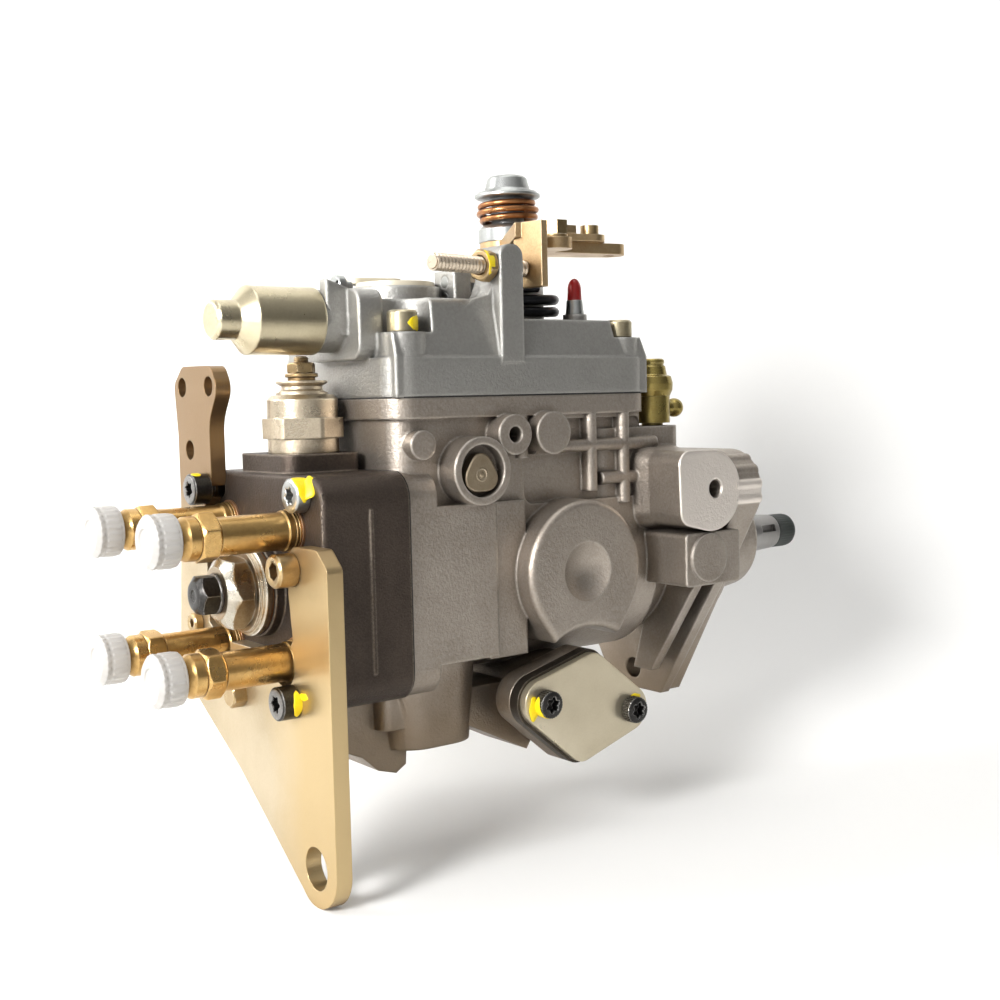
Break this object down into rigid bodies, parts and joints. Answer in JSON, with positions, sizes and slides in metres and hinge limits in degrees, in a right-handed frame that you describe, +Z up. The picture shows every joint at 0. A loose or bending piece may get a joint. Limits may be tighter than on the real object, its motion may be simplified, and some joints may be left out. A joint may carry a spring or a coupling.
{
  "type": "diesel injection pump",
  "caption": "Rotary distributor diesel injection pump with flange mounting, four outlet valves, stop solenoid, governor cover, control lever and rear bracket",
  "frame": {"origin": "on the drive shaft axis, in the plane of the flange's mounting face", "axes": "+X along the drive shaft towards the drive end, +Z up to the control lever, -Y the side with the side bolt and ear"},
  "size_m": [0.3051, 0.1153, 0.2363],
  "materials": {
    "housing_aluminium": "die cast, satin, fine grain",
    "head_casting": "phosphated, dark brown grey",
    "cover_aluminium": "die cast, satin, fine grain",
    "bronze": "machined",
    "black_rubber": "smooth",
    "steel": "ground and machined",
    "shaft_steel": "ground",
    "cap_black": "moulded, satin",
    "black_oxide": "black oxide",
    "zinc_silver": "zinc plated, satin",
    "zinc_gold": "yellow chromate",
    "bracket_zinc": "yellow chromate, satin",
    "valve_gold": "yellow chromate, bright",
    "copper": "soft washer",
    "cap_white": "translucent, moulded",
    "plug_chromate": "turned, brown chromate",
    "insulator_black": "moulded",
    "screw_chromate": "chromate, satin",
    "cap_olive": "pressed, olive chromate",
    "plate_cream": "satin",
    "screw_steel": "plated thread",
    "plug_red": "moulded",
    "union_olive": "olive chromate, bright",
    "bolt_grey": "phosphated",
    "cover_beige": "plated, semi-gloss",
    "spacer_aluminium": "dark, die cast",
    "spring_black": "black oxide wire",
    "lever_bronze": "brown chromate",
    "spring_copper": "copper coloured wire"
  },
  "bodies": {
    "pump": {"blanking_plate": "plate_cream", "bleed_bolt": "black_oxide", "bracket_screws": "zinc_gold", "centre_plug": "plug_chromate", "cover_screws": "screw_chromate", "delivery_valves": "valve_gold", "distributor_head": "head_casting", "feed_pump_ring": "steel", "full_load_screw": "steel", "governor_cover": "cover_aluminium", "governor_shaft": "steel", "head_screw_plain": "zinc_silver", "head_screws": "black_oxide", "head_seal_ring": "black_rubber", "idle_screws": "zinc_silver", "outlet_caps": "cap_white", "plunger_springs": "steel", "pump_housing": "housing_aluminium", "rear_bracket": "bracket_zinc", "return_union": "union_olive", "shaft_bush": "bronze", "shaft_seal": "black_rubber", "side_bolt": "bolt_grey", "solenoid_body": "plug_chromate", "solenoid_insulator": "insulator_black", "stop_screw": "screw_steel", "stop_screw_nut": "zinc_gold", "tamper_cap": "cap_olive", "terminal_nut": "zinc_gold", "terminal_stud": "zinc_gold", "timing_cover_far": "cover_beige", "timing_cover_near": "cover_beige", "timing_screws": "black_oxide", "timing_spacer": "spacer_aluminium", "torsion_spring": "spring_black", "union_bolt": "union_olive", "valve_washers": "copper", "vent_plug": "plug_red", "vent_stub": "zinc_silver"},
    "drive": {"drive_shaft": "shaft_steel", "shaft_cap": "cap_black", "feed_pump_rotor": "steel", "drive_gear": "steel", "cam_plate": "steel", "distributor_plunger": "steel"},
    "governor": {"governor_carrier": "steel", "flyweights": "steel"},
    "roller_carrier": {"roller_ring": "steel", "rollers": "steel"},
    "timing": {"timing_piston": "steel"},
    "lever": {"control_shaft": "steel", "control_lever": "lever_bronze", "cable_plate": "lever_bronze", "lever_spring": "spring_copper", "spring_retainer": "zinc_silver", "spring_seat": "zinc_silver", "lever_screws": "zinc_gold"},
    "stop": {"solenoid_plunger": "steel"},
    "governor_arm": {"governor_lever": "steel"},
    "sleeve": {"control_sleeve": "steel"}
  },
  "joints": [
    {"name": "drive_spin", "type": "hinge", "parent": "pump", "child": "drive", "pos_m": [0, 0, 0], "axis": [1, 0, 0], "continuous": true},
    {"name": "governor_spin", "type": "hinge", "parent": "pump", "child": "governor", "pos_m": [-0.06, 0, 0.044], "axis": [1, 0, 0], "continuous": true},
    {"name": "timing_slide", "type": "slide", "parent": "pump", "child": "timing", "axis": [0, 1, 0], "range_m": [0, 0.008]},
    {"name": "roller_turn", "type": "hinge", "parent": "pump", "child": "roller_carrier", "pos_m": [-0.0755, 0, 0], "axis": [1, 0, 0], "range_deg": [0, 10]},
    {"name": "lever_turn", "type": "hinge", "parent": "pump", "child": "lever", "pos_m": [-0.072, 0, 0.1], "axis": [0, 0, 1], "range_deg": [0, 40], "stiffness_Nm_per_rad": 0.5, "springref_deg": -28.65},
    {"name": "stop_slide", "type": "slide", "parent": "pump", "child": "stop", "axis": [0, 0, 1], "range_m": [0, 0.003], "stiffness_N_per_m": 400, "springref_m": -0.004},
    {"name": "governor_tilt", "type": "hinge", "parent": "pump", "child": "governor_arm", "pos_m": [-0.121, 0, 0.024], "axis": [0, 1, 0], "range_deg": [0, 8], "stiffness_Nm_per_rad": 0.05, "springref_deg": -17.19},
    {"name": "sleeve_slide", "type": "slide", "parent": "pump", "child": "sleeve", "axis": [1, 0, 0], "range_m": [-0.00224, 0]}
  ],
  "couplings": [
    {"joint": "governor_spin", "follows": "drive_spin", "ratio": -1.4783},
    {"joint": "roller_turn", "follows": "timing_slide", "rad_per_m": 21.1},
    {"joint": "sleeve_slide", "follows": "governor_tilt", "m_per_rad": -0.016}
  ]
}
